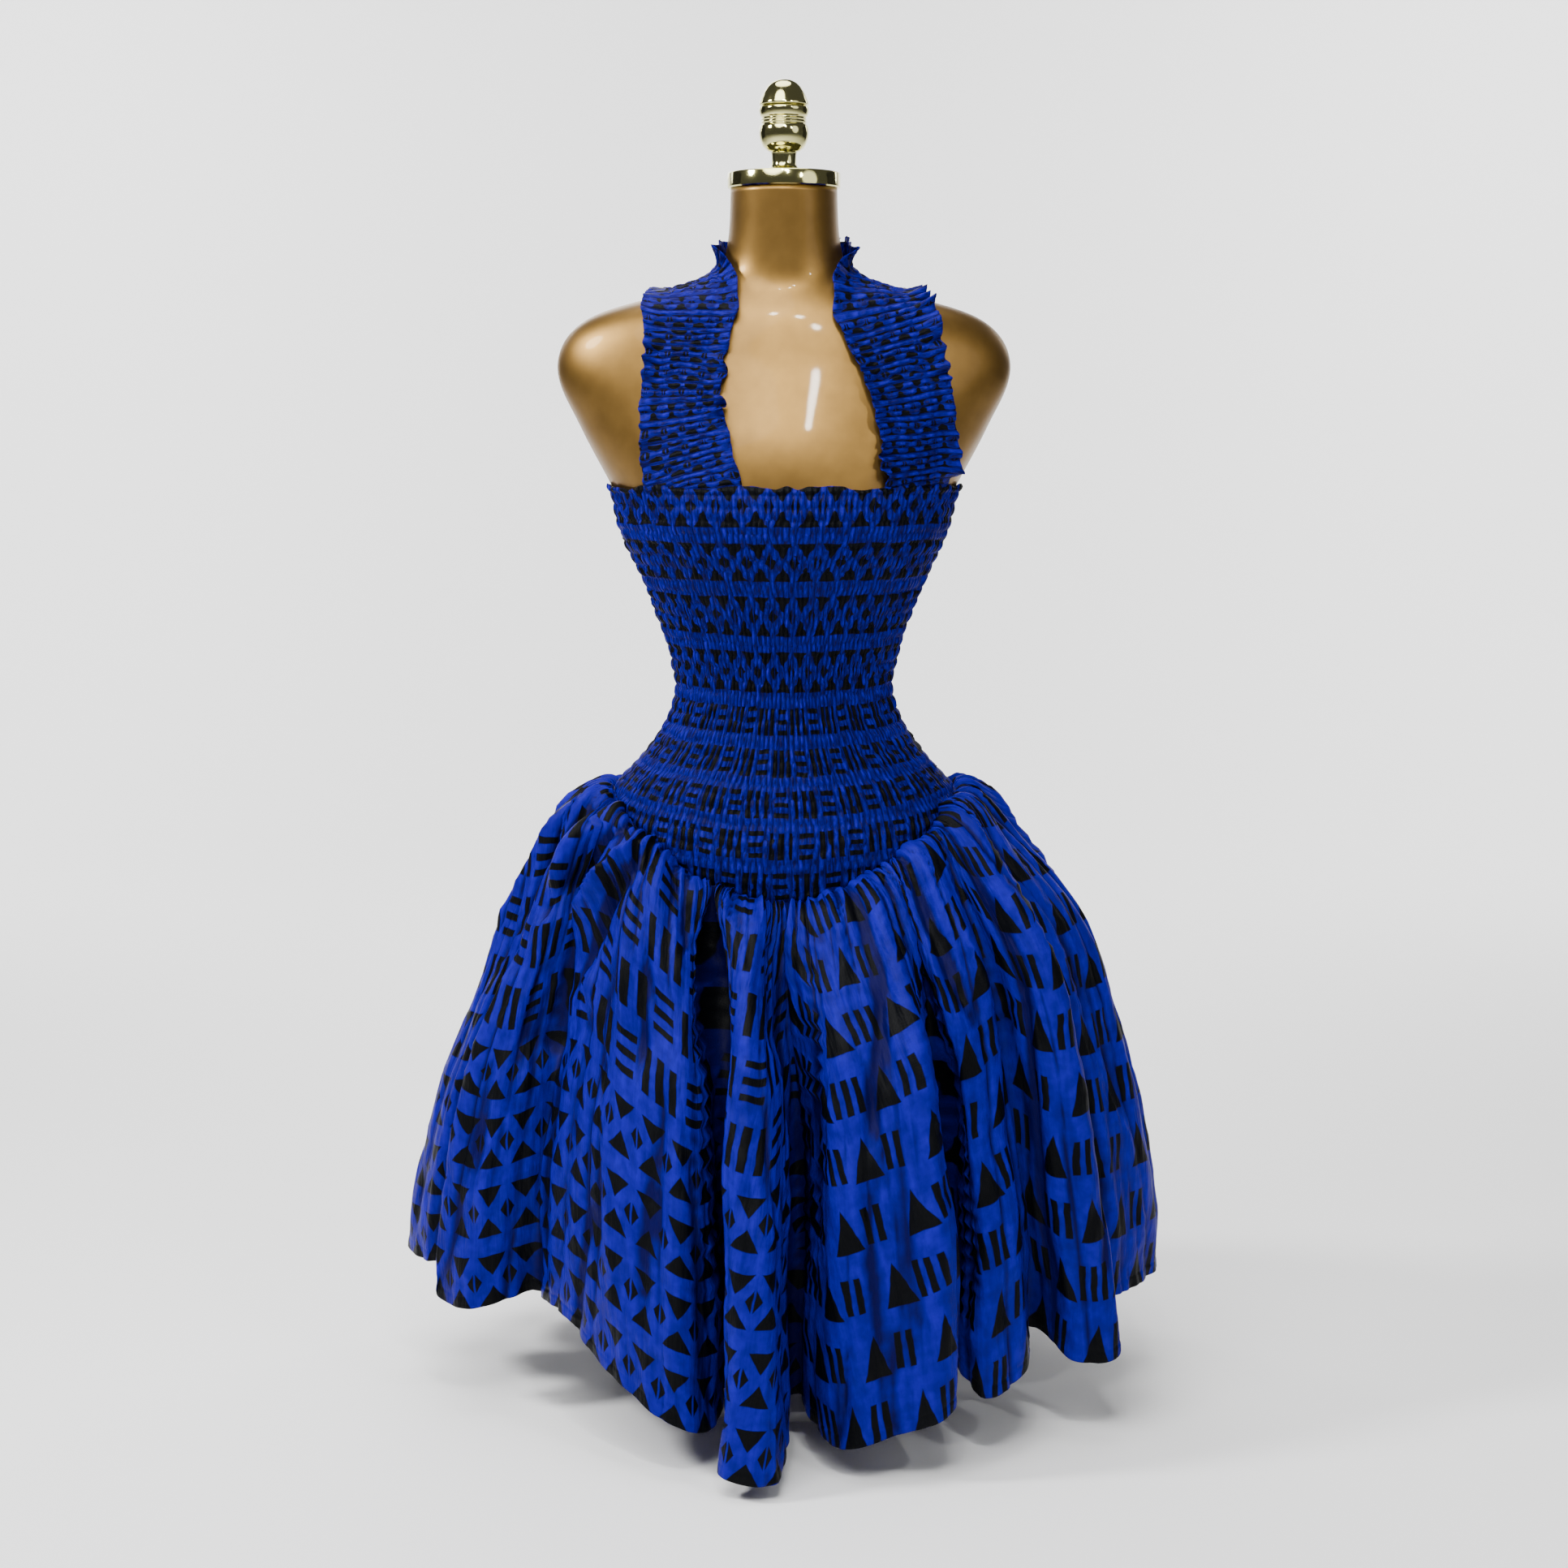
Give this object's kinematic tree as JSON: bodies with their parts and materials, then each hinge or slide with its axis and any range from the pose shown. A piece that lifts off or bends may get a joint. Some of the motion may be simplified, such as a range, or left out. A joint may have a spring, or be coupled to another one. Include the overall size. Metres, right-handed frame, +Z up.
{
  "type": "halter neck dress on a dress form",
  "caption": "Short halter neck dress with a shirred bodice, frilled straps and a gathered printed skirt, worn by a limbless dress form on a round stand.",
  "frame": {"origin": "middle of the underside of the stand's round base", "axes": "+Z up, -Y towards the front of the dress, +X towards the wearer's left"},
  "size_m": [0.7391, 0.6941, 1.2641],
  "materials": {
    "dress_cloth": "printed cotton, blue with black shapes",
    "form_shell": "gold pearl paint under clear coat",
    "neck_metal": "polished",
    "stand_metal": "white powder coat"
  },
  "bodies": {
    "root": {"bodice_front": "dress_cloth", "bodice_back": "dress_cloth", "strap_left": "dress_cloth", "strap_right": "dress_cloth", "skirt_front_left": "dress_cloth", "skirt_front_right": "dress_cloth", "skirt_back": "dress_cloth", "form_torso": "form_shell", "neck_cap": "neck_metal", "neck_knob": "neck_metal", "stand_socket": "stand_metal", "stand_pole": "stand_metal", "stand_base": "stand_metal"}
  },
  "joints": []
}
